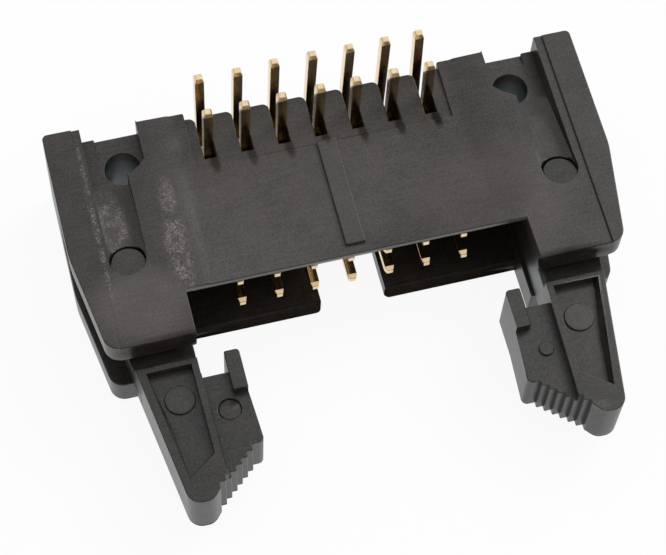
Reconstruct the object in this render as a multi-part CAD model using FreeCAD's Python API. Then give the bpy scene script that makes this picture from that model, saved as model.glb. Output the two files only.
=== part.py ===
import FreeCAD, Part
import math
import os

# Right-angle box header, two rows of seven contacts, with two ejector latches.
# X runs along the contact rows, -Y is the mating side, +Z is the board side.
# The origin is the middle of the solder tail pattern, on the board seating face.
# All sizes are in millimetres.

V = FreeCAD.Vector

# How far a cut or an extrusion runs past the face that it meets
overrun = 1.00
overlap = 0.10

# Contact grid and square contact wire
pitch = 2.54
columns = 7
pin_width = 0.64
pin_tip_width = 0.45
pin_tip_length = 0.30
pin_bend_radius = 0.30
tail_length = 3.25
contact_reach = [6.50, 6.79]

# Housing heights, measured down from the board seating face
ear_plate_drop = 0.15
centre_plate_drop = 0.25
comb_drop = 0.55
rear_floor_drop = 1.75
rear_shelf_drop = 1.30
housing_height = 8.25
board_wall = 1.05
far_wall = 1.15
ear_board_wall = 1.75
latch_slot_height = 3.96
latch_slot_lap = 0.50
latch_slot_fall = 0.80

# Housing outline, seen on the board face
cavity_end_margin = 3.85
ear_width = 6.87
tail_to_mating_face = 12.00
ear_projection = 3.19
ear_rear = 1.17
centre_rear = 0.86
comb_rear = 0.52
ear_taper_start = 3.90
ear_taper_inset = 1.12
ear_corner_radius = 1.00
ear_side_radius = 6.00
ear_rear_radius = 0.35
ear_inner_radius = 0.15
comb_margin = 1.19
comb_corner_radius = 0.12
comb_recess_length = 3.95
tooth_corner_radius = 0.45

# Raised lands that meet the board
strip_width = 1.97
rib_width = 1.34
rib_front_inset = 0.65
centre_step_width = 0.60
centre_step_outset = 1.50

# Cavity, key slot and contact slots
cavity_depth = 7.40
cavity_lead_in = 0.28
key_slot_width = 4.48
key_slot_depth = 6.60
key_slot_corner = 0.35
contact_slot_width = 0.84
contact_slot_shift = -0.10
contact_slot_length = 3.25
contact_slot_floor = 0.22

# Rear recess of each ear, with its fixing hole
rear_recess_offset = 0.58
rear_recess_width = 3.77
rear_recess_length = 4.12
rear_recess_corner_x = 1.28
rear_recess_corner_y = 0.50
rear_recess_side_radius = 0.30
rear_recess_front_radius = 0.20
rear_shelf_width = 0.87
rear_shelf_length = 1.10
rear_recess_inset = 0.27
fixing_hole_radius = 1.20
fixing_hole_offset = 2.03
fixing_hole_setback = 2.75

# Ramp from the rear recess up to the pivot hole
ramp_offset = 1.89
ramp_width = 2.46
ramp_toe = 0.45
ramp_end_depth = 0.80
ramp_end_inset = 0.28
ramp_inner_facet = 0.70
ramp_inner_rise = 0.28
ramp_outer_facet = 0.45
ramp_outer_rise = 0.20
ramp_toe_share = 0.11

# Latch pivot
pivot_offset = 3.18
pivot_setback = 3.00
pivot_radius = 1.12
pivot_clearance = 0.10
pivot_front_drop = 0.05
pivot_rear_drop = 1.15

# Latch heights
latch_side_gap = 0.10
latch_step = 0.75
handle_thickness = 4.45

# Latch arm and handle, seen on the board face
handle_gap = 0.81
handle_length = 9.75
handle_root_offset = 4.28
handle_taper = 1.49
tip_width = 1.46
tip_radius = 0.97
tip_inner_radius = 0.87
arm_offset = 0.23
arm_front_reach = 0.88
rim_taper = 0.20
rim_taper_end = 1.50
hub_reach = 2.20
hub_side_radius = 2.64
hub_rear_offset = 1.10
hub_rear_reach = 2.75
hub_rear_radius = 1.32
shoulder_radius = 1.75

# Ejector foot, measured from the pivot
foot_reach = 4.75
foot_root_reach = 2.14
foot_width = 1.82
foot_gap = 0.20
foot_radius = 0.40
foot_nose_radius = 0.80

# Handle pocket
pocket_inner_rim = 0.45
pocket_outer_rim = 0.65
pocket_root_rim = 0.38
pocket_inner_length = 6.25
pocket_outer_length = 7.65
pocket_slope = 0.42
pocket_inner_lean = 0.10

# Flange, hook and stepped grip
flange_reach = 2.75
flange_setback = 1.20
flange_corner_radius = 0.40
hook_inset = 0.23
hook_width = 1.00
hook_length = 2.75
hook_outer_radius = 0.25
hook_inner_radius = 0.12
grip_to_tip = 3.33
grip_lead = 0.85
grip_teeth = 7
grip_run = 0.435
grip_rise = 0.375

# Round marks on the latch
disc_radius = 1.00
disc_height = 0.15
disc_offset = 1.83
disc_setback = 2.58
mark_radius = 0.62
mark_depth = 0.12
mark_offset = 0.99
mark_setback = 4.05

# Levels and places worked out from the sizes above
ear_plate_z = -ear_plate_drop
centre_z = -centre_plate_drop
comb_z = -comb_drop
bottom_z = -housing_height
cavity_top_z = centre_z - board_wall
cavity_bottom_z = bottom_z + far_wall
slot_top_z = ear_plate_z - ear_board_wall
slot_bottom_z = slot_top_z - latch_slot_height
row_middle_z = (cavity_top_z + cavity_bottom_z) / 2
row_z = [row_middle_z + pitch / 2, row_middle_z - pitch / 2]
tail_y = [-pitch / 2, pitch / 2]
column_x = [(i - (columns - 1) / 2) * pitch for i in range(columns)]
mating_y = -tail_to_mating_face
cavity_floor_y = mating_y + cavity_depth
ear_front_y = mating_y - ear_projection
cavity_half = column_x[-1] + cavity_end_margin
ear_outer = cavity_half + ear_width
comb_half = column_x[-1] + comb_margin
contact_slot_y = comb_rear - contact_slot_length
comb_recess_y = comb_rear - comb_recess_length
recess_front_y = ear_rear - rear_recess_length
recess_x = cavity_half + rear_recess_offset
fixing_hole_x = cavity_half + fixing_hole_offset
pivot_x = cavity_half + pivot_offset
pivot_y = mating_y + pivot_setback
ramp_end_y = pivot_y + pivot_radius - ramp_end_inset
latch_top_z = slot_top_z - latch_side_gap
latch_bottom_z = slot_bottom_z + latch_side_gap
latch_core_z = latch_top_z - latch_step
handle_bottom_z = latch_top_z - handle_thickness
handle_root_y = ear_front_y - handle_gap
handle_tip_y = handle_root_y - handle_length
arm_inner_x = cavity_half + arm_offset
arm_outer_x = cavity_half + handle_root_offset
flange_x = cavity_half - flange_reach
rim_end_y = handle_tip_y + grip_to_tip


def box(x0, x1, y0, y1, z0, z1):
    return Part.makeBox(x1 - x0, y1 - y0, z1 - z0, V(x0, y0, z0))


def cylinder(x, y, radius, z0, z1):
    return Part.makeCylinder(radius, z1 - z0, V(x, y, z0))


def outline(corners, z):
    """Closed wire through corners (x, y, radius), with an arc where the radius isn't 0."""
    edges = []
    ends = []
    count = len(corners)
    for i in range(count):
        x, y, radius = corners[i]
        here = V(x, y, z)
        before = V(corners[i - 1][0], corners[i - 1][1], z) - here
        after = V(corners[(i + 1) % count][0], corners[(i + 1) % count][1], z) - here
        if radius == 0:
            ends.append((here, here))
            continue
        half = before.getAngle(after) / 2
        reach = radius / math.tan(half)
        start = here + before.normalize() * reach
        stop = here + after.normalize() * reach
        inward = (before + after).normalize()
        middle = here + inward * (radius / math.sin(half) - radius)
        edges.append(Part.Arc(start, middle, stop).toShape())
        ends.append((start, stop))
    for i in range(count):
        start = ends[i][1]
        stop = ends[(i + 1) % count][0]
        if start.distanceToPoint(stop) > 1e-6:
            edges.append(Part.makeLine(start, stop))
    return Part.Wire(Part.__sortEdges__(edges))


def prism(corners, z0, z1):
    """Solid between two levels over an outline of (x, y, radius) corners."""
    return Part.Face(outline(corners, z0)).extrude(V(0, 0, z1 - z0))


def extruded(points, way):
    """Solid made by moving the flat face with these corners along a vector."""
    return Part.Face(Part.makePolygon(points + points[:1])).extrude(way)


def both_sides(shape):
    """The right-hand shape with its mirror image on the left."""
    return [shape, shape.mirror(V(0, 0, 0), V(1, 0, 0))]


# Housing

def housing_outline():
    """Plan of the board face: centre plate, comb edge and both fork-shaped ears."""
    right = [
        (cavity_half, mating_y, 0),
        (cavity_half, ear_front_y, ear_inner_radius),
        (ear_outer - ear_taper_inset, ear_front_y, ear_corner_radius),
        (ear_outer, mating_y + ear_taper_start, ear_side_radius),
        (ear_outer, ear_rear, ear_rear_radius),
        (recess_x, ear_rear, 0),
        (recess_x, centre_rear, ear_inner_radius),
        (comb_half, centre_rear, comb_corner_radius),
        (comb_half, comb_rear, 0),
    ]
    left = [(-x, y, radius) for x, y, radius in reversed(right)]
    return right + left


def seating_lands():
    """Raised strips along the outer edges of the ears, and the rib on the centre plate."""
    whole = prism(housing_outline(), ear_plate_z, 0)
    inner = ear_outer - strip_width
    strip = whole.common(box(inner, ear_outer, ear_front_y, ear_rear, ear_plate_z, 0))
    rib_front = mating_y + rib_front_inset
    rib = box(-rib_width / 2, rib_width / 2, rib_front, comb_recess_y, centre_z, 0)
    return both_sides(strip) + [rib]


def centre_recess():
    """Shallow drop of the centre plate below the ear plates, with sloped sides."""
    inner = comb_half + centre_step_outset - centre_step_width
    outer = comb_half + centre_step_outset - centre_step_width / 2
    front = mating_y - overrun
    points = [V(-outer, front, ear_plate_z), V(-inner, front, centre_z),
              V(inner, front, centre_z), V(outer, front, ear_plate_z)]
    return extruded(points, V(0, centre_rear + overrun - front, 0))


def comb_cuts():
    """Lowered comb with a slot for each column, open to the rear, and rounded teeth."""
    rear = centre_rear + overrun
    cuts = [box(-comb_half, comb_half, comb_recess_y, rear, comb_z, 0)]
    floor_z = row_z[1] - pin_width / 2 - contact_slot_floor
    half = contact_slot_width / 2
    for x in column_x:
        middle = x + contact_slot_shift
        cuts.append(box(middle - half, middle + half, contact_slot_y, rear, floor_z, 0))
        for side in (-1, 1):
            edge = middle + side * half
            cuts.append(tooth_corner(edge, side, floor_z))
    return cuts


def tooth_corner(edge, side, floor_z):
    """Waste outside the rounded rear corner of the tooth whose flank is at edge."""
    radius = tooth_corner_radius
    corner = box(min(edge, edge + side * radius), max(edge, edge + side * radius),
                 comb_rear - radius, comb_rear + overlap, floor_z, 0)
    return corner.cut(cylinder(edge + side * radius, comb_rear - radius, radius, floor_z, 0))


def cavity_cuts():
    """Mating cavity with its lead-in, key slot, and square holes for the contacts."""
    front = ear_front_y - overrun
    lead = cavity_lead_in
    cuts = [box(-cavity_half, cavity_half, front, cavity_floor_y, cavity_bottom_z, cavity_top_z)]
    for inner, outward in ((cavity_bottom_z, -1), (cavity_top_z, 1)):
        outer = inner + outward * lead
        points = [V(-cavity_half, front, inner), V(-cavity_half, mating_y + lead, inner),
                  V(-cavity_half, mating_y, outer), V(-cavity_half, front, outer)]
        cuts.append(extruded(points, V(2 * cavity_half, 0, 0)))
    half = key_slot_width / 2
    slot_end = mating_y + key_slot_depth
    cuts.append(box(-half, half, front, slot_end, bottom_z - overrun, cavity_bottom_z + overlap))
    cuts += key_slot_corners(half)
    for z in row_z:
        for x in column_x:
            cuts.append(box(x - pin_width / 2, x + pin_width / 2, cavity_floor_y - overlap,
                            contact_slot_y + overlap, z - pin_width / 2, z + pin_width / 2))
    return cuts


def key_slot_corners(half):
    """Waste that rounds the two front corners of the key slot."""
    radius = key_slot_corner
    corner = box(half, half + radius, mating_y, mating_y + radius, bottom_z, cavity_bottom_z)
    post = cylinder(half + radius, mating_y + radius, radius, bottom_z, cavity_bottom_z)
    return both_sides(corner.cut(post))


def rear_recess():
    """Low area at the back of the right ear, with its side shelf left standing."""
    x0 = recess_x
    x1 = recess_x + rear_recess_width
    corners = [
        (x0, ear_rear + overrun, 0),
        (x0, recess_front_y + rear_recess_corner_y * 2, 0),
        (x0 + rear_recess_corner_y, recess_front_y + rear_recess_corner_y, rear_recess_side_radius),
        (x0 + rear_recess_corner_x, recess_front_y, rear_recess_front_radius),
        (x1, recess_front_y, 0),
        (x1, ear_rear + overrun, 0),
    ]
    recess = prism(corners, -rear_floor_drop, overlap)
    shelf = [V(x1, ear_rear, -rear_floor_drop), V(x1, ear_rear, -rear_shelf_drop),
             V(x1, ear_rear - rear_shelf_length, -rear_floor_drop)]
    toe_rise = ramp_toe * (rear_floor_drop - ramp_end_depth) / (recess_front_y + ramp_toe - ramp_end_y)
    toe = [V(x1, recess_front_y + ramp_toe, -rear_floor_drop), V(x1, recess_front_y, -rear_floor_drop),
           V(x1, recess_front_y, toe_rise - rear_floor_drop)]
    wedges = [extruded(shelf, V(-rear_shelf_width, 0, 0)), extruded(toe, V(-rear_recess_width, 0, 0))]
    return recess.cut(wedges)


def ramp():
    """Channel in the right ear, rising from the rear recess to the pivot hole and as wide as the hole."""
    inner_x = cavity_half + ramp_offset
    outer_x = inner_x + ramp_width
    slope = (rear_floor_drop - ramp_end_depth) / (recess_front_y + ramp_toe - ramp_end_y)
    wires = []
    for y, share in ((recess_front_y, ramp_toe_share), (ramp_end_y, 1)):
        floor_z = slope * (ramp_end_y - y) - ramp_end_depth
        points = [V(inner_x, y, overlap), V(outer_x, y, overlap),
                  V(outer_x, y, floor_z + ramp_outer_rise * share),
                  V(outer_x - ramp_outer_facet * share, y, floor_z),
                  V(inner_x + ramp_inner_facet, y, floor_z), V(inner_x, y, floor_z + ramp_inner_rise)]
        wires.append(Part.makePolygon(points + points[:1]))
    return Part.makeLoft(wires, True, True)


def ear_cuts():
    """Latch slot, pivot holes, rear recess, ramp and fixing hole of the right ear."""
    slot_corners = [
        (cavity_half - latch_slot_lap, ear_front_y - overrun, 0),
        (ear_outer + overrun, ear_front_y - overrun, 0),
        (ear_outer + overrun, cavity_floor_y + latch_slot_fall, 0),
        (cavity_half - latch_slot_lap, cavity_floor_y, 0),
    ]
    hole = pivot_radius + pivot_clearance
    hole_y = ear_rear - fixing_hole_setback
    below = bottom_z - overrun
    return [
        prism(slot_corners, slot_bottom_z, slot_top_z),
        cylinder(pivot_x, pivot_y, hole, below, overlap),
        rear_recess(),
        box(recess_x, recess_x + rear_recess_width, ear_rear - rear_recess_inset, ear_rear + overrun,
            below, overlap),
        ramp(),
        cylinder(fixing_hole_x, hole_y, fixing_hole_radius, below, overlap),
    ]


def make_housing():
    body = prism(housing_outline(), bottom_z, ear_plate_z)
    body = body.fuse(seating_lands()[:2])
    cuts = [centre_recess()] + comb_cuts() + cavity_cuts()
    for shape in ear_cuts():
        cuts += both_sides(shape)
    body = body.cut(cuts)
    return body.fuse(seating_lands()[2]).removeSplitter()


# Latches

def grip_corners():
    """Steps of the grip, from the inner corner of the flange to the tip of the handle."""
    x = flange_x + grip_lead
    y = rim_end_y
    corners = [(flange_x, y, flange_corner_radius)]
    for i in range(grip_teeth):
        corners.append((x, y, 0))
        y -= grip_rise
        corners.append((x, y, 0))
        x += grip_run
    return corners


def hook_outline():
    """Plan of the hook that stands at the inner corner of the flange."""
    inner = flange_x + hook_inset
    outer = inner + hook_width
    return [
        (outer, handle_root_y, hook_inner_radius),
        (inner, handle_root_y, hook_outer_radius),
        (inner, handle_root_y - hook_length, 0),
        (outer, handle_root_y - hook_length, 0),
    ]


def handle_outline():
    """Plan of the handle outside the ear, with its flange and hook."""
    hook = hook_outline()
    flange_y = handle_root_y - flange_setback
    return grip_corners() + [
        (arm_outer_x - handle_taper - tip_width, handle_tip_y, tip_inner_radius),
        (arm_outer_x - handle_taper, handle_tip_y, tip_radius),
        (arm_outer_x, handle_root_y, 0),
        (arm_inner_x, handle_root_y, 0),
        (arm_inner_x, flange_y, 0),
        (hook[0][0], flange_y, 0),
    ] + hook[:3]


def arm_outline():
    """Plan of the arm inside the ear slot: hub round the pivot and ejector foot."""
    foot_y = cavity_floor_y - foot_gap
    nose_x = pivot_x - foot_reach
    return [
        (arm_inner_x, handle_root_y - latch_step, 0),
        (arm_outer_x - overlap, handle_root_y - latch_step, 0),
        (arm_outer_x, handle_root_y, 0),
        (pivot_x + hub_reach, pivot_y, hub_side_radius),
        (pivot_x + hub_rear_offset, pivot_y + hub_rear_reach, hub_rear_radius),
        (nose_x + foot_root_reach, foot_y, foot_radius),
        (nose_x, foot_y, foot_nose_radius),
        (nose_x, foot_y - foot_width, foot_radius),
        (arm_inner_x, pivot_y + arm_front_reach, foot_nose_radius),
    ]


def pocket():
    """Tapered pocket in the face of the handle."""
    inner_x = arm_inner_x + pocket_inner_rim
    outer_x = arm_outer_x - pocket_outer_rim
    top_y = handle_root_y - pocket_root_rim
    slant = handle_taper / handle_length
    outer_low = outer_x - slant * pocket_outer_length
    inner_low = (inner_x - pocket_inner_lean, top_y - pocket_inner_length)
    low_y = top_y - pocket_outer_length
    mouth = [(inner_x, top_y), (outer_x, top_y), (outer_low, low_y), inner_low]
    slope = pocket_slope
    floor = [(inner_x, top_y), (outer_x - slope, top_y), (outer_low - slope, low_y + slope), inner_low]
    wires = []
    for corners, z in ((floor, latch_core_z), (mouth, latch_top_z)):
        points = [V(x, y, z) for x, y in corners]
        wires.append(Part.makePolygon(points + points[:1]))
    return Part.makeLoft(wires, True, True)


def raised_rim():
    """Part of the handle that rises above the flange: arm rim round the pocket."""
    whole = prism(handle_outline(), latch_core_z, latch_top_z)
    low_y = handle_tip_y - overrun
    far_x = arm_outer_x + overrun
    rim_x = arm_inner_x - rim_taper
    side = prism([(arm_inner_x, handle_root_y, 0), (rim_x, rim_end_y - rim_taper_end, 0),
                  (rim_x, low_y, 0), (far_x, low_y, 0), (far_x, handle_root_y, 0)],
                 latch_core_z, latch_top_z)
    return whole.common(side).cut(pocket())


def boss():
    """Pivot boss through the arm, with both ends slanted so that it snaps into the ear."""
    x = pivot_x - pivot_radius - overrun
    front = pivot_y - pivot_radius
    rear = pivot_y + pivot_radius
    points = [V(x, front, ear_plate_z - pivot_front_drop), V(x, rear, ear_plate_z - pivot_rear_drop),
              V(x, rear, bottom_z + pivot_rear_drop), V(x, front, bottom_z + pivot_front_drop)]
    ends = extruded(points, V(2 * (pivot_radius + overrun), 0, 0))
    return cylinder(pivot_x, pivot_y, pivot_radius, bottom_z, 0).common(ends)


def make_latch():
    """Right latch in its closed position."""
    hook = prism(hook_outline(), latch_core_z, latch_top_z)
    disc = cylinder(cavity_half + disc_offset, handle_root_y - disc_setback, disc_radius,
                    latch_core_z, latch_core_z + disc_height)
    shoulder = cylinder(pivot_x, pivot_y, shoulder_radius, latch_core_z, latch_top_z)
    body = prism(handle_outline(), handle_bottom_z, latch_core_z)
    arm = prism(arm_outline(), latch_bottom_z, latch_core_z)
    body = body.fuse([arm, raised_rim(), hook, disc, shoulder, boss()])
    mark = cylinder(cavity_half - mark_offset, handle_root_y - mark_setback, mark_radius,
                    latch_core_z - mark_depth, latch_core_z)
    return body.cut(mark).removeSplitter()


# Contacts

def make_contact(x, row):
    """Right-angle contact: mating pin, bend and solder tail, with tapered tips."""
    half = pin_width / 2
    z = row_z[row]
    y = tail_y[row]
    front = cavity_floor_y - contact_reach[row]
    inner = pin_bend_radius
    outer = pin_bend_radius + pin_width
    turn = V(0, y - half - inner, z + half + inner)
    diagonal = V(0, math.sqrt(0.5), -math.sqrt(0.5))
    mating = front + pin_tip_length
    tail = tail_length - pin_tip_length
    edges = [
        Part.makeLine(V(0, mating, z - half), V(0, turn.y, z - half)),
        Part.Arc(V(0, turn.y, z - half), turn + diagonal * outer, V(0, y + half, turn.z)).toShape(),
        Part.makeLine(V(0, y + half, turn.z), V(0, y + half, tail)),
        Part.makeLine(V(0, y + half, tail), V(0, y - half, tail)),
        Part.makeLine(V(0, y - half, tail), V(0, y - half, turn.z)),
        Part.Arc(V(0, y - half, turn.z), turn + diagonal * inner, V(0, turn.y, z + half)).toShape(),
        Part.makeLine(V(0, turn.y, z + half), V(0, mating, z + half)),
        Part.makeLine(V(0, mating, z + half), V(0, mating, z - half)),
    ]
    wire = Part.Wire(Part.__sortEdges__(edges))
    wire.translate(V(x - half, 0, 0))
    stem = Part.Face(wire).extrude(V(pin_width, 0, 0))
    tips = [
        tapered_tip(V(x, mating, z), V(0, -1, 0)),
        tapered_tip(V(x, y, tail), V(0, 0, 1)),
    ]
    return stem.fuse(tips).removeSplitter()


def tapered_tip(base, direction):
    """Four-sided taper from the full wire to the coined end."""
    across = V(1, 0, 0)
    up = direction.cross(across)
    wires = []
    for width, distance in ((pin_width, 0), (pin_tip_width, pin_tip_length)):
        centre = base + direction * distance
        x = across * (width / 2)
        y = up * (width / 2)
        points = [centre - x - y, centre + x - y, centre + x + y, centre - x + y]
        wires.append(Part.makePolygon(points + points[:1]))
    return Part.makeLoft(wires, True, True)


def export(shape, name):
    shape.exportStep("parts/" + name + ".step")
    print(name, "volume %.3f" % shape.Volume, "solids", len(shape.Solids), "valid", shape.isValid())


os.makedirs("parts", exist_ok=True)
export(make_housing(), "housing")
for shape, name in zip(both_sides(make_latch()), ("latch_right", "latch_left")):
    export(shape, name)
number = 0
for x in column_x:
    for row in (0, 1):
        number += 1
        export(make_contact(x, row), "contact_%02d" % number)
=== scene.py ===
# %% [markdown]
# # A right-angle box header with ejector latches
# The header is a small black moulding, 37 mm long. It carries fourteen gold contacts on a
# 2.54 mm grid, and a latch at each end swings out to push the plug off the pins.
# The imported CAD model comes first. It fixes every size, so each finished piece only adds what
# the eye sees: soft edges, moulded grain, gold plating, small marks of the mould, and some painted
# light and shade in the plastic.

# %% Load the frame
import math

import bmesh
import bpy
from mathutils import Matrix, Vector
from mathutils.bvhtree import BVHTree
from mathutils.kdtree import KDTree


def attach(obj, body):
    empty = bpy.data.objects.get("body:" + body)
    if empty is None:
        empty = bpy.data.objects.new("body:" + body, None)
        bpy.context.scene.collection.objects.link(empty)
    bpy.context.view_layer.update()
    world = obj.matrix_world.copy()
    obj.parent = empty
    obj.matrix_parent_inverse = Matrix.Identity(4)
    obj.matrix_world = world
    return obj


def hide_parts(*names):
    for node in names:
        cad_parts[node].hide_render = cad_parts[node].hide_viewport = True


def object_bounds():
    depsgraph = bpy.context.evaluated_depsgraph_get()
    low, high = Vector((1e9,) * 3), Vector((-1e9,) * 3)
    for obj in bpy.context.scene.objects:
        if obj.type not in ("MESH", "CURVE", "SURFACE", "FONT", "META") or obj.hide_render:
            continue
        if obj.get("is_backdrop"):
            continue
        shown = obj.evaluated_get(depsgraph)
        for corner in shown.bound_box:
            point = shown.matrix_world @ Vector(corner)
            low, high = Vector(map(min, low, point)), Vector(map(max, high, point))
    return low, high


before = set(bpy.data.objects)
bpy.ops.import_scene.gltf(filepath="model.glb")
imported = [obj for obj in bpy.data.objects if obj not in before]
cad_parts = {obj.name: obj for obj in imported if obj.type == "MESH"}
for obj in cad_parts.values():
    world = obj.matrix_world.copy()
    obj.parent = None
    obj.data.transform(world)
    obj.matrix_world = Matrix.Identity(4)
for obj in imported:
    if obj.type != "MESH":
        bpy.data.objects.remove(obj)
cad_low, cad_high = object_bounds()
mm = 0.001
print("CAD box in mm", [round(v / mm, 2) for v in cad_high - cad_low])

# %% [markdown]
# ## Camera
# The photograph looks down on the board side from the front left. A long lens at 140 mm keeps
# the ears nearly parallel. The camera could be placed by eye, but two angles and a target near
# the middle of the part are easier to fit and to read. Then the camera rolls four degrees,
# because the real camera wasn't quite level.

# %% Camera
view_azimuth = math.radians(-17.953)
view_elevation = math.radians(63.746)
view_roll = math.radians(4.070)
view_distance = 140 * mm
view_target = Vector((-1.947, -13.040, -0.934)) * mm
lens_length = 116.484
sensor_width = 36


def make_camera():
    """The scene's camera, at the photograph's viewing angle."""
    back = Vector((math.sin(view_azimuth) * math.cos(view_elevation),
                   -math.cos(view_azimuth) * math.cos(view_elevation),
                   math.sin(view_elevation)))
    data = bpy.data.cameras.new("camera")
    data.lens = lens_length
    data.sensor_width = sensor_width
    data.clip_start = 5 * mm
    data.clip_end = 5
    camera = bpy.data.objects.new("camera", data)
    upright = (-back).to_track_quat("-Z", "Y")
    camera.rotation_mode = "QUATERNION"
    camera.rotation_quaternion = upright @ Matrix.Rotation(view_roll, 3, "Z").to_quaternion()
    camera.location = view_target + back * view_distance
    bpy.context.scene.collection.objects.link(camera)
    bpy.context.scene.camera = camera
    return camera


camera = make_camera()
print("camera at mm", [round(v / mm, 1) for v in camera.location])

# %% [markdown]
# ## Moulded plastic
# Housing and latches are black glass-filled plastic. Its colour is nearly black, and most of
# what the eye sees is the sheen of its skin, so the shader is a dark warm base under a
# half-rough surface. A single colour would look like a drawing, so noise at several scales
# breaks it up: a cloudy one for the flow of the melt, one stretched along the flow, and a very
# fine one for the glass fibres that show in the skin.
# A moulding is also uneven from place to place, and so is the light on it. Soft ovals make both,
# each with a centre and a reach. Tints lift or darken the base, some of them as painted light,
# painted shade and painted reflections. Rubs hold fine pale specks where handling has worn the
# skin. Dull places have lost their sheen, some of them as painted shade. A painted picture could
# hold the same marks, but ovals stay sharp at any size. All of it reads Object coordinates, so it
# stays on the piece when the piece turns.

# %% Helpers for node materials


def new_material(name):
    """A node material with its Principled shader, and functions that add and link nodes."""
    material = bpy.data.materials.new(name)
    material.use_nodes = True
    tree = material.node_tree
    shader = tree.nodes["Principled BSDF"]

    def add(kind, inputs=None, **settings):
        node = tree.nodes.new(kind)
        for key, value in settings.items():
            setattr(node, key, value)
        for key, value in (inputs or {}).items():
            if isinstance(value, bpy.types.NodeSocket):
                tree.links.new(value, node.inputs[key])
            else:
                node.inputs[key].default_value = value
        return node

    return material, shader, add, tree.links.new


def ramp(add, value, stops):
    """A colour ramp over value, with stops of (position, colour)."""
    node = add("ShaderNodeValToRGB", {"Fac": value})
    elements = node.color_ramp.elements
    while len(elements) < len(stops):
        elements.new(0.5)
    for element, (position, colour) in zip(elements, stops):
        element.position = position
        element.color = (*colour, 1)
    return node.outputs["Color"]


# %% Noise, mixes and bumps
def noise(add, vector, scale, detail, roughness=0.5):
    """Noise with about this many waves in a metre."""
    return add("ShaderNodeTexNoise", {"Vector": vector, "Scale": scale, "Detail": detail,
                                      "Roughness": roughness}).outputs["Fac"]


def between(add, value, low, high, from_low=0.0, from_high=1.0):
    """Maps value from one range onto the range from low to high."""
    return add("ShaderNodeMapRange", {"Value": value, "From Min": from_low, "From Max": from_high,
                                      "To Min": low, "To Max": high}).outputs["Result"]


def blend(add, share, first, second):
    """Mixes two values; share is how much of the second one."""
    return add("ShaderNodeMix", {"Factor": share, 2: first, 3: second}, data_type="FLOAT").outputs[0]


def product(add, first, second):
    """Multiplies two values."""
    return add("ShaderNodeMath", {0: first, 1: second}, operation="MULTIPLY").outputs[0]


def bump(add, height, strength, depth, under=None):
    """A normal that follows the height to a depth in mm, on top of the normal under it."""
    inputs = {"Height": height, "Strength": strength, "Distance": depth * mm}
    if under is not None:
        inputs["Normal"] = under
    return add("ShaderNodeBump", inputs).outputs["Normal"]


# %% Soft oval patches
oval_core = 0.55


def oval(add, place, centre, reach):
    """A mask that is 1 in the middle of an oval and falls to 0 at its rim; both are in mm."""
    scale = [1 / (r * mm) for r in reach]
    moved = add("ShaderNodeMapping", {"Vector": place, "Scale": scale,
                                      "Location": [-c * mm * k for c, k in zip(centre, scale)]})
    away = add("ShaderNodeVectorMath", {0: moved.outputs["Vector"]}, operation="LENGTH").outputs["Value"]
    return between(add, away, 1.0, 0.0, oval_core, 1.0)


def ovals(add, place, patches):
    """One mask of several ovals, each a (centre, reach)."""
    result = oval(add, place, *patches[0])
    for patch in patches[1:]:
        mask = oval(add, place, *patch)
        result = add("ShaderNodeMath", {0: result, 1: mask}, operation="MAXIMUM").outputs[0]
    return result


# %% Tints, painted light, rubs and sheen
def tinted_and_painted_light(add, tone, place, tints_and_painted_light):
    """The tone with each oval's colour added: tints, painted light, painted shade and painted reflections.
    """
    for centre, reach, colour in tints_and_painted_light:
        mask = oval(add, place, centre, reach)
        node = add("ShaderNodeMix", {"Factor": mask, 6: tone, 7: (*colour, 1)}, data_type="RGBA",
                   blend_type="ADD")
        tone = node.outputs[2]
    return tone


def rubbed(add, tone, place, shifted, rubs, colour):
    """The tone with fine pale specks in the ovals that handling has rubbed."""
    specks = ramp(add, noise(add, shifted, 9000, 3, 0.8), [(0.45, (0, 0, 0)), (0.60, (1, 1, 1))])
    patchy = ramp(add, noise(add, shifted, 1100, 6, 0.75), [(0.44, (0.1, 0.1, 0.1)), (0.58, (1, 1, 1))])
    amount = product(add, product(add, ovals(add, place, rubs), patchy), specks)
    return add("ShaderNodeMix", {"Factor": amount, 6: tone, 7: (*colour, 1)}, data_type="RGBA").outputs[2]


def sheen(add, place, grain, dull_and_painted_shade):
    """How much the skin reflects: a little less between the fibres, and nothing in a dull oval, some of
    which are painted shade.
    """
    level = between(add, grain, 0.34, 0.60, 0.3, 0.7)
    return product(add, level, between(add, ovals(add, place, dull_and_painted_shade), 1.0, 0.0))


# %% Moulded plastic
def moulded_plastic(name, finish_and_painted_light):
    """Black plastic: cloudy tone, flow streaks along X, fibre grain, tints and painted light, rubs and dull
    places.
    """
    material, shader, add, link = new_material(name)
    place = add("ShaderNodeTexCoord").outputs["Object"]
    start = (finish_and_painted_light["seed"], finish_and_painted_light["seed"] * 0.7, 0)
    shifted = add("ShaderNodeMapping", {"Vector": place, "Location": start}).outputs["Vector"]
    along = add("ShaderNodeMapping", {"Vector": shifted, "Scale": (0.10, 1, 1)}).outputs["Vector"]
    cloud = noise(add, shifted, 420, 6, 0.65)
    streak = noise(add, along, 5000, 3, 0.6)
    grain = noise(add, shifted, 7000, 4, 0.7)

    mixed = blend(add, 0.25, blend(add, 0.6, cloud, grain), streak)
    tone = ramp(add, mixed, [(0.40, finish_and_painted_light["dark"]), (0.60, finish_and_painted_light["light"])])
    tone = tinted_and_painted_light(add, tone, place, finish_and_painted_light["tints_and_painted_light"])
    tone = rubbed(add, tone, place, shifted, finish_and_painted_light["rubs"], finish_and_painted_light["rub"])
    link(tone, shader.inputs["Base Color"])
    link(between(add, cloud, 0.27, 0.39), shader.inputs["Roughness"])
    link(sheen(add, place, grain, finish_and_painted_light["dull_and_painted_shade"]), shader.inputs["Specular IOR Level"])
    fine = bump(add, grain, 0.40, 0.012)
    link(bump(add, streak, 0.25, 0.010, fine), shader.inputs["Normal"])
    return material
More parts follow.
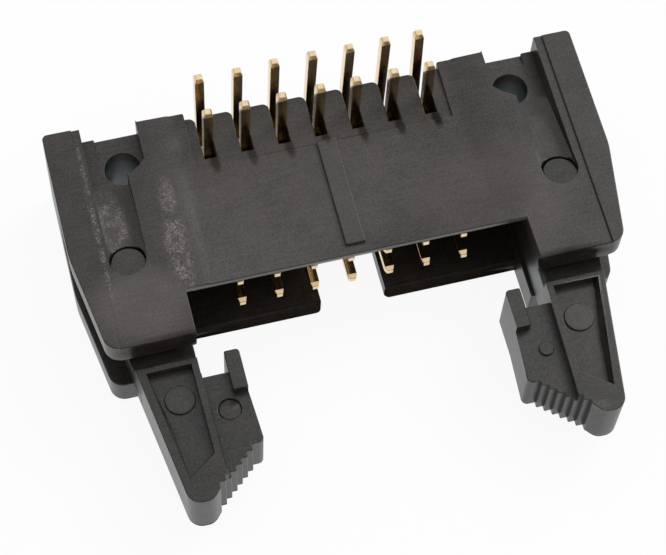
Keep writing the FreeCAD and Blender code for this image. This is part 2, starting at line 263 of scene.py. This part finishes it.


# %% [markdown]
# ### Uneven places and painted light of the housing
# The plate between the ears has two wide paler places, and the left ear is paler towards its
# front: all of this is painted light. The outer strips are darker, in painted shade. Painted light
# lifts the shade in the right ear's channel and in the low place by its hole. Inside the fixing
# holes the skin is painted paler and bluish, as a painted reflection of the white table under
# them. The left ear and the left end of the plate are rubbed. The fronts of the ears lose their
# sheen as painted shade. A short streak in front of each tail in the near row loses it as a
# painted dark reflection of the tail. The front of the far wall is dull.

# %% Finish and painted light of the housing
grid = 2.54
columns = 7
housing_finish_and_painted_light = {
    "dark": (0.015, 0.012, 0.010),
    "light": (0.038, 0.031, 0.027),
    "tints_and_painted_light": [
        # painted light: the plate paler in two wide places, and the left ear paler towards its front
        ((-3.0, -6.0, 0.0), (10.5, 8.0, 1.5), (0.020, 0.018, 0.017)),
        ((9.5, -10.5, 0.0), (6.5, 6.0, 1.5), (0.024, 0.020, 0.020)),
        ((-14.4, -12.4, 0.0), (4.2, 3.2, 1.0), (0.042, 0.037, 0.036)),
        ((-15.1, -6.0, -1.2), (1.3, 3.2, 0.9), (0.016, 0.015, 0.014)),
        # painted light: lifts the shade in the low place by the right fixing hole
        ((14.5, -3.2, -1.4), (2.8, 2.2, 0.7), (0.012, 0.011, 0.011)),
        # painted shade: the left strip darker at its rear
        ((-16.7, -2.2, 0.0), (1.8, 3.4, 1.0), (-0.011, -0.010, -0.009)),
        # painted light: lifts the shade in the right ear's channel
        ((14.6, -6.0, -1.2), (1.0, 2.4, 0.9), (0.020, 0.016, 0.015)),
        # painted shade: the right strip darker
        ((17.4, -6.0, 0.0), (1.9, 14.0, 1.0), (-0.011, -0.010, -0.009)),
        # painted reflection: the white table under each fixing hole, pale and bluish on its walls
        ((-13.5, -1.6, -5.2), (1.9, 1.9, 3.6), (0.32, 0.41, 0.46)),
        ((13.5, -1.6, -5.2), (1.9, 1.9, 3.6), (0.32, 0.41, 0.46)),
    ],
    "rub": (0.240, 0.210, 0.195),
    "rubs": [
        ((-15.1, -5.6, -1.2), (1.3, 3.6, 0.9)),
        ((-16.2, -6.0, 0.0), (0.25, 8.0, 0.5)),
        ((-11.3, -9.2, 0.0), (1.0, 4.2, 0.6)),
        ((-11.2, -5.2, 0.0), (0.7, 1.8, 0.6)),
    ],
    "dull_and_painted_shade": [
        # painted shade: the ear fronts lose their sheen; the far wall's front is dull
        ((-13.0, -15.2, -0.9), (4.4, 0.6, 1.3)),
        ((13.0, -15.2, -0.9), (4.4, 0.6, 1.3)),
        ((0.0, -12.0, -7.9), (20.0, 0.6, 1.6)),
        # painted dark reflection of each near tail, as a streak without sheen in front of it
        *(((grid * column + 0.1, -3.25, -0.4), (0.42, 1.15, 0.6))
          for column in range(-(columns // 2), columns // 2 + 1)),
    ],
    "seed": 0.0,
}
housing_plastic = moulded_plastic("housing_plastic", housing_finish_and_painted_light)
print("made", housing_plastic.name, "with", len(housing_plastic.node_tree.nodes), "nodes")

# %% [markdown]
# ### Uneven places of the latches
# The latches come from another batch, which is a little greyer. The right flange is paler than
# the left one. The side of its slot is painted pale and bluish, as a painted reflection of the
# white table. Its tip is rubbed.

# %% Finish and painted light of the latches
latch_finish_and_painted_light = {
    "dark": (0.013, 0.012, 0.010),
    "light": (0.034, 0.031, 0.028),
    "tints_and_painted_light": [
        ((13.5, -20.0, -2.4), (3.0, 5.0, 1.0), (0.007, 0.004, 0.004)),
        ((13.3, -18.8, -2.6), (1.3, 1.3, 0.6), (0.013, 0.014, 0.014)),
        ((-13.4, -18.4, -2.4), (1.2, 1.2, 1.0), (0.010, 0.010, 0.009)),
        # painted reflection: the white table on the side of the right latch's slot
        ((11.7, -15.4, -5.0), (0.6, 1.8, 3.0), (0.10, 0.125, 0.14)),
    ],
    "rub": (0.100, 0.092, 0.086),
    "rubs": [((12.2, -25.5, -2.0), (1.6, 0.9, 0.6))],
    "dull_and_painted_shade": [((-13.0, -25.0, -6.32), (3.4, 2.4, 0.16))],
    "seed": 0.37,
}
latch_plastic = moulded_plastic("latch_plastic", latch_finish_and_painted_light)
print("made", latch_plastic.name, "with", len(latch_plastic.node_tree.nodes), "nodes")

# %% [markdown]
# ## Gold-plated wire
# The contacts are drawn square wire with a thin gold plating. A plain polished gold would look
# cast. The drawing leaves fine lines along the wire, and the plating is a little uneven, so a
# stretched noise makes the lines and a cloudy one takes parts of the colour towards bronze.

# %% Gold plating
bronze = (0.70, 0.52, 0.30)
pale_gold = (0.88, 0.69, 0.44)


def gold_plating(name):
    """Metal whose colour wavers a little between gold and bronze, with fine drawing lines."""
    material, shader, add, link = new_material(name)
    place = add("ShaderNodeTexCoord").outputs["Object"]
    squeezed = add("ShaderNodeMapping", {"Vector": place, "Scale": (1, 0.05, 0.05)}).outputs["Vector"]
    cloud = noise(add, place, 1500, 4)
    lines = noise(add, squeezed, 9000, 2)
    link(ramp(add, cloud, [(0.30, bronze), (0.66, pale_gold)]), shader.inputs["Base Color"])
    link(between(add, cloud, 0.14, 0.24), shader.inputs["Roughness"])
    shader.inputs["Metallic"].default_value = 1
    link(bump(add, lines, 0.10, 0.004), shader.inputs["Normal"])
    return material


contact_gold = gold_plating("contact_gold")
print("made", contact_gold.name)

# %% [markdown]
# ## Moulded pieces with soft edges
# Moulded plastic has no knife edges: every outward corner keeps a small radius that catches the
# light. The CAD solids have sharp edges, so each one is copied, its loose triangles are merged
# into whole faces, and a Bevel modifier rounds the edges that carry a bevel weight. A
# subdivision surface would round them too, but it would also pull the flat faces out of true.
# Where edges stand closer together than the rounding needs, the new faces fold over each other.
# A search for faces that left the old surface finds those places, and their edges stay sharp,
# because a sharp corner a tenth of a millimetre long is less of a fault than a crumpled one.

# %% Bake a modifier into its mesh
def bake(piece):
    """Turns what the piece's modifiers make into its plain mesh, and removes them."""
    bpy.context.view_layer.update()
    evaluated = piece.evaluated_get(bpy.context.evaluated_depsgraph_get())
    finished = bpy.data.meshes.new_from_object(evaluated)
    piece.modifiers.clear()
    piece.data = finished


def new_piece(name, mesh):
    """An object at the origin that shows this mesh."""
    piece = bpy.data.objects.new(name, mesh)
    bpy.context.scene.collection.objects.link(piece)
    return piece


# %% Round the weighted edges
def rounded(piece, sharp_mesh, width):
    """Gives the piece the sharp mesh with its weighted edges rounded, in triangles."""
    piece.data = sharp_mesh
    bevel = piece.modifiers.new("soft edges", "BEVEL")
    bevel.width = width
    bevel.segments = 2
    bevel.limit_method = "WEIGHT"
    bevel.use_clamp_overlap = False
    bevel.harden_normals = True
    triangles = piece.modifiers.new("triangles", "TRIANGULATE")
    triangles.keep_custom_normals = True
    bake(piece)


# %% Find the folds
stray_share = 0.9
least_cosine = 0.3
smallest_face = 20e-6 * mm ** 2
fold_reach = 0.12 * mm


def folded_places(mesh, surface, width):
    """Corners of the faces that left the old surface or turned away from it."""
    places = []
    for face in mesh.polygons:
        _, normal, _, distance = surface.find_nearest(face.center)
        turned = face.normal.dot(normal) < least_cosine and face.area > smallest_face
        if distance > stray_share * width or turned:
            places += [mesh.vertices[i].co.copy() for i in face.vertices]
    return places


def near_any(edge, places, reach):
    """Whether the edge passes within reach of one of the places."""
    start, end = (vertex.co for vertex in edge.verts)
    steps = max(2, int(edge.calc_length() / reach))
    return any(places.find(start.lerp(end, k / steps))[2] < reach for k in range(steps + 1))


# %% Whole faces from a CAD node
def join_faces(shape):
    """Merges corners that coincide and faces that lie in one plane."""
    bmesh.ops.remove_doubles(shape, verts=shape.verts, dist=0.004 * mm)
    bmesh.ops.dissolve_limit(shape, angle_limit=math.radians(1), verts=shape.verts, edges=shape.edges)


def merged_copy(node):
    """The CAD node's faces, whole and joined at their corners, without its stored shading."""
    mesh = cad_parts[node].data.copy()
    if mesh.has_custom_normals:
        mesh.attributes.remove(mesh.attributes["custom_normal"])
    shape = bmesh.new()
    shape.from_mesh(mesh)
    join_faces(shape)
    return shape


# %% Soft-edged copies
crease = math.radians(30)


def soften(piece, shape, width, tries=10):
    """Rounds the outward edges of the shape, apart from tagged ones and where the rounding folds."""
    for face in shape.faces:
        face.smooth = True
    for edge in shape.edges:
        edge.smooth = len(edge.link_faces) == 2 and edge.calc_face_angle() < crease
    weight = shape.edges.layers.float.new("bevel_weight_edge")
    soft = [edge for edge in shape.edges if len(edge.link_faces) == 2
            and edge.calc_face_angle_signed(0) > crease and not edge.tag]
    for edge in soft:
        edge[weight] = 1
    surface = BVHTree.FromBMesh(shape)
    for _ in range(tries):
        sharp_mesh = bpy.data.meshes.new(piece.name)
        shape.to_mesh(sharp_mesh)
        rounded(piece, sharp_mesh, width)
        corners = folded_places(piece.data, surface, width)
        if not corners:
            break
        places = KDTree(len(corners))
        for number, corner in enumerate(corners):
            places.insert(corner, number)
        places.balance()
        for edge in soft:
            if edge[weight] and near_any(edge, places, fold_reach):
                edge[weight] = 0
    print(piece.name, "soft edges", sum(edge[weight] > 0 for edge in soft), "of", len(soft),
          "folded corners left", len(corners))


def soft_edged(node, width, body, material, adjust):
    """A copy of a CAD node, adjusted, with rounded edges, riding on the node's body."""
    shape = merged_copy(node)
    for edge in shape.edges:
        edge.tag = False
    adjust(shape)
    shape.normal_update()
    piece = new_piece(node + "_moulded", bpy.data.meshes.new(node + "_moulded"))
    soften(piece, shape, width)
    shape.free()
    piece.data.materials.clear()
    piece.data.materials.append(material)
    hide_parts(node)
    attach(piece, body)
    return piece


# %% [markdown]
# ## Pivots
# Each latch turns on a boss in a round hole of its ear. On the real header the latch is pulled
# forward, so the boss touches the front of its hole and leaves a dark crescent behind. Its top
# slopes down to the rear. Pivot, pockets and marks are corners in flat faces of the CAD copy, so
# moving the corners before the edges are rounded is enough, and no new solid is needed.

# %% Find and move corners
flange_level = -2.75
rim_level = -2.00
pivot = Vector((14.65, -9.00))


def corners_near(shape, centre, reach, low, high):
    """Corners within reach of centre in plan, and between two levels, all in mm."""
    middle = Vector(centre) * mm
    return [v for v in shape.verts if (v.co.xy - middle).length <= reach * mm
            and low * mm <= v.co.z <= high * mm]


def move_mark(shape, old_centre, radius, new_centre, new_radius):
    """Moves and scales a round mark in the flange, and returns the corners of its own face."""
    ring = corners_near(shape, old_centre, radius + 0.02, flange_level - 0.16, flange_level + 0.16)
    for vertex in ring:
        flat = vertex.co.xy - Vector(old_centre) * mm
        vertex.co.xy = Vector(new_centre) * mm + flat * (new_radius / radius)
    return [v for v in ring if abs(v.co.z - flange_level * mm) > 0.02 * mm]


def move_edge(shape, level, start, end, start_shift, end_shift):
    """Moves the corners on a straight edge of this level, by a shift that changes along it."""
    start, end = Vector(start) * mm, Vector(end) * mm
    along = end - start
    for vertex in shape.verts:
        share = (vertex.co.xy - start).dot(along) / along.length_squared
        off = (vertex.co.xy - start - along * share).length
        if abs(vertex.co.z - level * mm) < 0.01 * mm and off < 0.005 * mm and -0.01 < share < 1.01:
            vertex.co.xy += Vector(start_shift).lerp(Vector(end_shift), share) * mm


# %% The top of a pivot boss
boss_radius = 1.12
seated_radius = 1.205
boss_front_level = -0.16
boss_slope = 0.25


def keep_front_sharp(shape, side):
    """Tags the front half of the pivot's circle, where boss and hole meet without a groove."""
    for edge in shape.edges:
        away = [vertex.co.xy - Vector((side * pivot.x, pivot.y)) * mm for vertex in edge.verts]
        level = min(vertex.co.z for vertex in edge.verts)
        on_front = all(1.19 * mm < a.length < 1.23 * mm and a.y < 0.12 * mm for a in away)
        edge.tag = edge.tag or (level > -0.3 * mm and on_front)


def seat_boss(shape, side, amount):
    """Pulls the boss forward in its hole by an amount, and slopes its top down to the rear."""
    middle = Vector((side * pivot.x, pivot.y)) * mm
    for vertex in corners_near(shape, middle / mm, boss_radius + 0.02, -1.6, 0.0):
        flat = vertex.co.xy - middle
        if flat.y < -0.1 * mm:
            flat *= seated_radius * mm / max(flat.length, boss_radius * mm)
        else:
            flat.y -= amount * mm
        vertex.co.xy = middle + flat
        vertex.co.z = boss_front_level * mm - boss_slope * (flat.y + 1.2 * mm)
    keep_front_sharp(shape, side)


# %% [markdown]
# ## The two latches
# Both latches come out of one mould: the left one is the right one turned over. So the face
# that is seen on the left has other marks than the one on the right. The left flange has a wide
# sunken pin mark, deepest at its rear, and the right one has a narrow raised mark. The outer
# wall of each pocket stands at its own slope. The right latch also sits a little further
# forward than the left one.

# %% Places on a latch, for the right side
pocket_rear = (14.68, -16.38)
pocket_front = (13.51, -23.61)
rim_rear = (15.10, -16.38)
rim_front = (13.93, -24.03)
disc = (13.30, -18.58)
disc_radius = 1.00
pin_mark = (10.48, -20.05)
pin_radius = 0.62


def to_left(place):
    """The same place on the left latch."""
    return -place[0], place[1]


# %% The two faces of a latch
def left_face(shape):
    """Wide round mark in a sunken ring, and a steep outer wall in the pocket."""
    move_edge(shape, flange_level, to_left(pocket_rear), to_left(pocket_front), (-0.38, 0.00),
              (-0.39, -0.39))
    move_mark(shape, to_left(disc), disc_radius, (-13.36, -18.42), disc_radius)
    centre = Vector((-10.40, -19.74)) * mm
    floor = set(move_mark(shape, to_left(pin_mark), pin_radius, centre / mm, 0.75))
    for vertex in floor:
        vertex.co.z = (flange_level - 0.12) * mm - 0.06 * (vertex.co.y - centre.y)
    inner = [face for face in shape.faces if all(vertex in floor for vertex in face.verts)]
    bmesh.ops.inset_region(shape, faces=inner, thickness=0.10 * mm, depth=0.06 * mm)
    seat_boss(shape, -1, 0.09)


def right_face(shape):
    """Narrow raised mark, a pocket that reaches a little further out, and the latch's own place."""
    move_edge(shape, flange_level, pocket_rear, pocket_front, (0.36, 0.00), (0.25, -0.30))
    move_edge(shape, rim_level, rim_rear, rim_front, (0.20, 0.00), (0.00, 0.00))
    for vertex in move_mark(shape, pin_mark, pin_radius, (10.56, -20.35), 0.50):
        vertex.co.z = (flange_level + 0.16) * mm
    move_mark(shape, disc, disc_radius, (13.30, -18.68), disc_radius)
    seat_boss(shape, 1, 0.01)
    for vertex in shape.verts:
        vertex.co.y -= 0.08 * mm


# %% [markdown]
# ## The housing
# In the photograph each ramp's channel runs on into the pivot hole, with no bridge between
# them, and the near wall is thin at its front edge. The wall's edge is moved as above. The
# channel's end needs a cut, so a Boolean modifier takes a block away at each ear. The block's
# rear is as wide as the ramp, and its front as wide as the hole, so both walls run into the
# circle without a step.

# %% Near wall
wall_front = -12.00
lip_level = -1.02
thin_lip_level = -0.52


def thin_near_wall(shape):
    """Lifts the lower front edge of the near wall."""
    for vertex in shape.verts:
        if (abs(vertex.co.y - wall_front * mm) < 0.01 * mm
                and abs(vertex.co.z - lip_level * mm) < 0.01 * mm):
            vertex.co.z = thin_lip_level * mm


# %% Ramp ends
ramp_middle = 14.59
ramp_width = 2.48
cut_length = 0.92
cut_height = 1.10
cut_front_half = 1.225


def ramp_end_blocks():
    """One object with a block at each ear, from the ramp into the pivot hole."""
    block = bmesh.new()
    for side in (-1, 1):
        size = Matrix.Diagonal((ramp_width * mm, cut_length * mm, cut_height * mm, 1))
        place = Matrix.Translation(Vector((side * ramp_middle, pivot.y + cut_length / 2, 0.0)) * mm)
        for vertex in bmesh.ops.create_cube(block, size=1, matrix=place @ size)["verts"]:
            if vertex.co.y < (pivot.y + 0.4) * mm:
                out = cut_front_half if vertex.co.x > side * ramp_middle * mm else -cut_front_half
                vertex.co.x = (side * pivot.x + out) * mm
    mesh = bpy.data.meshes.new("ramp_ends")
    block.to_mesh(mesh)
    block.free()
    return new_piece("ramp_ends", mesh)


def cut_away(shape, cutter):
    """Takes the cutter's space out of the shape, and removes the cutter."""
    mesh = bpy.data.meshes.new("uncut")
    shape.to_mesh(mesh)
    piece = new_piece("uncut", mesh)
    removal = piece.modifiers.new("cut", "BOOLEAN")
    removal.object = cutter
    removal.solver = "EXACT"
    bake(piece)
    shape.clear()
    shape.from_mesh(piece.data)
    join_faces(shape)
    for done in (piece, cutter):
        bpy.data.objects.remove(done)


# %% All changes to the housing
def housing_details(shape):
    """Thins the near wall, opens the ramps into the pivot holes, and tags what stays sharp."""
    thin_near_wall(shape)
    cut_away(shape, ramp_end_blocks())
    for edge in shape.edges:
        on_left_strip = all(abs(vertex.co.z) < 0.01 * mm and vertex.co.x < -15 * mm for vertex in edge.verts)
        edge.tag = on_left_strip and any(face.normal.x > 0.5 for face in edge.link_faces)
    for side in (-1, 1):
        keep_front_sharp(shape, side)


# %% Make the three mouldings
edge_width = 0.08 * mm
mouldings = [
    soft_edged("housing", edge_width, "base", housing_plastic, housing_details),
    soft_edged("latch_left", edge_width, "latch_left", latch_plastic, left_face),
    soft_edged("latch_right", edge_width, "latch_right", latch_plastic, right_face),
]
for piece in mouldings:
    print(piece.name, "faces", len(piece.data.polygons))

# %% [markdown]
# ## Contacts
# Each contact is square wire bent once through a right angle, with both ends coined to a short
# blunt taper. Fourteen of them could be modelled one by one, but they repeat on one grid, so
# Geometry Nodes bend one wire and set it on a point for each column. The two rows differ only
# in how deep they lie and how far back their tails stand, and those are inputs. Real contacts
# also lean a little from handling: each point carries its own lean, and the wires are sheared
# by it above the bend and in the cavity.

# %% Contact sizes
tail_top = 3.25 * mm
cavity_floor = -4.60 * mm
wire_sizes = {"Wire Width": 0.64 * mm, "Edge Radius": 0.05 * mm, "Tip Width": 0.45 * mm,
              "Tip Length": 0.30 * mm, "Tip Edge": 0.04 * mm, "Bend Radius": 0.62 * mm}
near_row = {
    "nodes": range(1, 15, 2), "depth": -2.93 * mm, "tail": -1.27 * mm, "tip": -11.10 * mm,
    "lean": [(0.05, -0.17), (0.03, -0.11), (-0.01, -0.04), (0.07, 0.01), (-0.02, 0.03), (0.02, 0.06),
             (-0.07, 0.05)],
    "aim": [-0.04, -0.08, -0.10, -0.13, -0.08, -0.05, 0.04],
}
far_row = {
    "nodes": range(2, 15, 2), "depth": -5.47 * mm, "tail": 1.27 * mm, "tip": -11.39 * mm,
    "lean": [(0.05, 0.00), (0.10, -0.08), (0.11, 0.05), (0.16, 0.06), (0.16, 0.03), (0.09, 0.04),
             (-0.16, 0.03)],
    "aim": [0.04, 0.04, -0.04, 0.01, 0.07, 0.08, 0.16],
}
print("contacts in each row", columns)


# %% Helpers for Geometry Nodes
def new_tree(name, inputs, output):
    """A Geometry Nodes tree with named inputs, and functions that add nodes to it."""
    tree = bpy.data.node_groups.new(name, "GeometryNodeTree")
    for label, kind in inputs.items():
        tree.interface.new_socket(label, in_out="INPUT", socket_type="NodeSocket" + kind)
    tree.interface.new_socket(output, in_out="OUTPUT", socket_type="NodeSocketGeometry")

    def add(kind, inputs=None, **settings):
        node = tree.nodes.new(kind)
        for key, value in settings.items():
            setattr(node, key, value)
        for key, value in (inputs or {}).items():
            if isinstance(value, bpy.types.NodeSocket):
                tree.links.new(value, node.inputs[key])
            else:
                node.inputs[key].default_value = value
        return node.outputs

    def maths(operation, a, b):
        return add("ShaderNodeMath", {0: a, 1: b}, operation=operation)[0]

    return tree, tree.nodes.new("NodeGroupInput").outputs, add, maths


def run_tree(piece, tree, values):
    """Adds the tree to the piece with these input values, and bakes the result."""
    modifier = piece.modifiers.new(tree.name, "NODES")
    modifier.node_group = tree
    for item in tree.interface.items_tree:
        if item.in_out == "INPUT" and item.name in values:
            modifier[item.identifier] = values[item.name]
    bake(piece)


# %% The wire's path
bend_steps = 8


def wire_path(tree, given, add, maths):
    """A line from the mating tip to the bend and up to the tail tip, with a round bend."""
    reach = maths("MULTIPLY", given["Reach"], -1.0)
    ends = []
    for offset in (0.0, given["Tip Edge"], given["Tip Length"]):
        ends.append((add("ShaderNodeCombineXYZ", {"Y": maths("ADD", reach, offset)})[0],
                     add("ShaderNodeCombineXYZ", {"Z": maths("SUBTRACT", given["Height"], offset)})[0]))
    corner = add("ShaderNodeCombineXYZ")[0]
    stops = [mating for mating, _ in ends] + [corner] + [tail for _, tail in reversed(ends)]
    bend = len(ends)

    index = add("GeometryNodeInputIndex")[0]
    switch = tree.nodes.new("GeometryNodeIndexSwitch")
    switch.data_type = "VECTOR"
    while len(switch.index_switch_items) < len(stops):
        switch.index_switch_items.new()
    tree.links.new(index, switch.inputs["Index"])
    for number, stop in enumerate(stops):
        tree.links.new(stop, switch.inputs[number + 1])
    line = add("GeometryNodeCurvePrimitiveLine")[0]
    line = add("GeometryNodeResampleCurve", {"Curve": line, "Count": len(stops)})[0]
    line = add("GeometryNodeSetPosition", {"Geometry": line, "Position": switch.outputs[0]})[0]
    # The node keeps its two whole-number inputs third and fourth.
    at_bend = add("FunctionNodeCompare", {2: index, 3: bend}, data_type="INT", operation="EQUAL")[0]
    radius = maths("MULTIPLY", at_bend, given["Bend Radius"])
    return add("GeometryNodeFilletCurve", {"Curve": line, "Count": bend_steps, "Radius": radius},
               mode="POLY")[0]


# %% The wire itself
tip_edge_share = 0.84


def square_wire(given, add, maths, path):
    """A square wire along the path, narrower towards both ends."""
    width = given["Wire Width"]
    profile = add("GeometryNodeCurvePrimitiveQuadrilateral", {"Width": width, "Height": width})[0]
    profile = add("GeometryNodeFilletCurve", {"Curve": profile, "Count": 2, "Radius": given["Edge Radius"]},
                  mode="POLY")[0]
    along = add("GeometryNodeSplineParameter")["Length"]
    whole = add("GeometryNodeSplineLength")["Length"]
    from_end = maths("MINIMUM", along, maths("SUBTRACT", whole, along))
    coined = add("ShaderNodeMapRange", {"Value": from_end, "From Min": given["Tip Edge"],
                                        "From Max": given["Tip Length"], "To Max": 1.0,
                                        "To Min": maths("DIVIDE", given["Tip Width"], width)})[0]
    edge = add("ShaderNodeMapRange", {"Value": from_end, "From Max": given["Tip Edge"],
                                      "To Min": tip_edge_share})[0]
    return add("GeometryNodeCurveToMesh", {"Curve": path, "Profile Curve": profile, "Fill Caps": True,
                                           "Scale": maths("MULTIPLY", coined, edge)})[0]


# %% How far each corner of a wire leans
def lean_shift(given, add, maths):
    """The shift of a corner: its lean above the bend, and its aim in the cavity."""
    def carried(name, kind="FLOAT"):
        return add("GeometryNodeInputNamedAttribute", {"Name": name}, data_type=kind)[0]

    def scaled(name, share):
        return add("ShaderNodeVectorMath", {0: carried(name, "FLOAT_VECTOR"), "Scale": share},
                   operation="SCALE")[0]

    spot = add("ShaderNodeSeparateXYZ", {"Vector": add("GeometryNodeInputPosition")[0]})
    up = maths("SUBTRACT", spot["Z"], carried("bend_z"))
    up = maths("MAXIMUM", maths("DIVIDE", up, given["Height"]), 0.0)
    out = maths("SUBTRACT", given["Reach"], given["Cavity Depth"])
    out = maths("SUBTRACT", maths("SUBTRACT", carried("bend_y"), out), spot["Y"])
    out = maths("MAXIMUM", maths("DIVIDE", out, given["Cavity Depth"]), 0.0)
    return add("ShaderNodeVectorMath", {0: scaled("lean", up), 1: scaled("aim", out)}, operation="ADD")[0]


# %% A row of leaning contacts
def contact_tree():
    """Sets one bent wire on every point, then leans each by its point's own values."""
    inputs = {"Points": "Geometry"}
    for label in [*wire_sizes, "Reach", "Height", "Cavity Depth"]:
        inputs[label] = "Float"
    inputs["Material"] = "Material"
    tree, given, add, maths = new_tree("bent square contacts", inputs, "Contacts")
    wire = square_wire(given, add, maths, wire_path(tree, given, add, maths))
    wires = add("GeometryNodeInstanceOnPoints", {"Points": given["Points"], "Instance": wire})[0]
    real = add("GeometryNodeRealizeInstances", {"Geometry": wires})[0]
    shift = lean_shift(given, add, maths)
    moved = add("GeometryNodeSetPosition", {"Geometry": real, "Offset": shift})[0]
    done = add("GeometryNodeSetMaterial", {"Geometry": moved, "Material": given["Material"]})[0]
    tree.links.new(done, tree.nodes.new("NodeGroupOutput").inputs[0])
    return tree


bent_contacts = contact_tree()
print(bent_contacts.name, "nodes", len(bent_contacts.nodes))

# %% [markdown]
# ### The two rows
# A point for each column carries how its wire leans. The sides of a wire are flat to the eye,
# and only its bend is round, so every edge steeper than a step of the bend is shaded sharp.
# Otherwise the taper of the tip would seem to darken the whole side below it.

# %% Bend the contacts
pitch = grid * mm
flat_shading = math.radians(14)


def row_points(name, row):
    """A mesh of one point for each column, with the values that its wire needs."""
    mesh = bpy.data.meshes.new(name)
    middle = (columns - 1) / 2
    mesh.from_pydata([((i - middle) * pitch, row["tail"], row["depth"]) for i in range(columns)], [], [])
    for label, value in (("bend_y", row["tail"]), ("bend_z", row["depth"])):
        mesh.attributes.new(label, "FLOAT", "POINT").data.foreach_set("value", [value] * columns)
    for label, values in (("lean", row["lean"]), ("aim", [(x, 0) for x in row["aim"]])):
        vectors = [v * mm for x, y in values for v in (x, y, 0)]
        mesh.attributes.new(label, "FLOAT_VECTOR", "POINT").data.foreach_set("vector", vectors)
    return mesh


def contact_row(name, row):
    """One row of contacts as a single mesh that replaces its seven CAD nodes."""
    piece = new_piece(name, row_points(name, row))
    run_tree(piece, bent_contacts, {**wire_sizes, "Reach": row["tail"] - row["tip"],
                                    "Height": tail_top - row["depth"], "Material": contact_gold,
                                    "Cavity Depth": cavity_floor - row["tip"]})
    piece.data.set_sharp_from_angle(angle=flat_shading)
    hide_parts(*["contact_%02d" % number for number in row["nodes"]])
    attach(piece, "base")
    return piece


for piece in (contact_row("contacts_near", near_row), contact_row("contacts_far", far_row)):
    low, high = (Vector(f(c[k] for c in piece.bound_box) for k in range(3)) for f in (min, max))
    print(piece.name, "faces", len(piece.data.polygons), "box mm", [round(v / mm, 2) for v in (*low, *high)])

# %% [markdown]
# ## Stage and light
# The header lies on a white table in a soft white tent, as small parts are photographed for a
# catalogue. The tent is brighter towards the upper right: its reflection is the sheen on the
# flat tops, and faces that lean to the front left stay darker. One small lamp from the right
# adds the soft shadows that the channels and pockets show on that side. The table would render
# a light grey, so its material adds white for the camera and for reflections, and keeps a soft
# share of the shadow. The light on the header itself stays at a plain level.

# %% White table
table_half = 1.5
table_white = 0.92
table_gap = 0.02 * mm


def make_table(level):
    """A wide white plane at this level, on the stage."""
    mesh = bpy.data.meshes.new("table")
    shape = bmesh.new()
    bmesh.ops.create_grid(shape, x_segments=1, y_segments=1, size=table_half)
    shape.to_mesh(mesh)
    shape.free()
    mesh.transform(Matrix.Translation((0, 0, level)))
    table = new_piece("table", mesh)
    material, shader, add, link = new_material("table_white")
    shader.inputs["Base Color"].default_value = (0.90, 0.90, 0.90, 1)
    shader.inputs["Roughness"].default_value = 0.9
    rays = add("ShaderNodeLightPath").outputs
    seen = rays["Is Camera Ray"]
    for other in ("Is Glossy Ray", "Is Transmission Ray"):
        seen = add("ShaderNodeMath", {0: seen, 1: rays[other]}, operation="MAXIMUM").outputs[0]
    share = product(add, seen, table_white)
    white = add("ShaderNodeEmission", {"Color": (1, 1, 1, 1), "Strength": 1.0}).outputs[0]
    mixed = add("ShaderNodeMixShader", {0: share, 1: shader.outputs[0], 2: white}).outputs[0]
    link(mixed, material.node_tree.nodes["Material Output"].inputs["Surface"])
    mesh.materials.append(material)
    table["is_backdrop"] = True


make_table(cad_low.z - table_gap)
print("table at mm", round((cad_low.z - table_gap) / mm, 2))

# %% Tent
tent_dim = 0.30
tent_bright = 1.02
tent_brightest = Vector((0.42, 0.42, 0.80))
tent_colour = (0.98, 0.99, 1.0, 1)


def make_tent():
    """A world whose light grows from dim on one side to bright towards the tent's brightest place."""
    world = bpy.data.worlds.new("light tent")
    world.use_nodes = True
    tree = world.node_tree
    way = tree.nodes.new("ShaderNodeTexCoord").outputs["Generated"]
    toward = tree.nodes.new("ShaderNodeVectorMath")
    toward.operation = "DOT_PRODUCT"
    tree.links.new(way, toward.inputs[0])
    toward.inputs[1].default_value = tent_brightest.normalized()
    share = tree.nodes.new("ShaderNodeMapRange")
    share.interpolation_type = "SMOOTHSTEP"
    tree.links.new(toward.outputs["Value"], share.inputs["Value"])
    share.inputs["From Min"].default_value = -0.2
    share.inputs["To Min"].default_value = tent_dim
    share.inputs["To Max"].default_value = tent_bright
    background = tree.nodes["Background"]
    background.inputs["Color"].default_value = tent_colour
    tree.links.new(share.outputs["Result"], background.inputs["Strength"])
    bpy.context.scene.world = world


make_tent()
print("tent from", tent_dim, "to", tent_bright)

# %% Lamp
lamp_place = Vector((0.30, 0.14, 0.33))
lamp_side = 0.20
lamp_brightness = 6.0


def make_lamp():
    """A square lamp aimed at the header; its brightness is what a mirror would show of it."""
    data = bpy.data.lights.new("lamp", "AREA")
    data.shape = "RECTANGLE"
    data.size = lamp_side
    data.size_y = lamp_side
    data.energy = lamp_brightness * math.pi * lamp_side ** 2
    lamp = bpy.data.objects.new("lamp", data)
    lamp.location = lamp_place
    lamp.rotation_euler = (-lamp_place).to_track_quat("-Z", "Y").to_euler()
    bpy.context.scene.collection.objects.link(lamp)


make_lamp()
bpy.context.scene.view_settings.view_transform = "Standard"
print("lamp of", lamp_side, "m at m", [round(v, 2) for v in lamp_place])

# %% Write the sizes and finish
low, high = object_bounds()
print("visual box in mm", [round(v / mm, 2) for v in high - low])
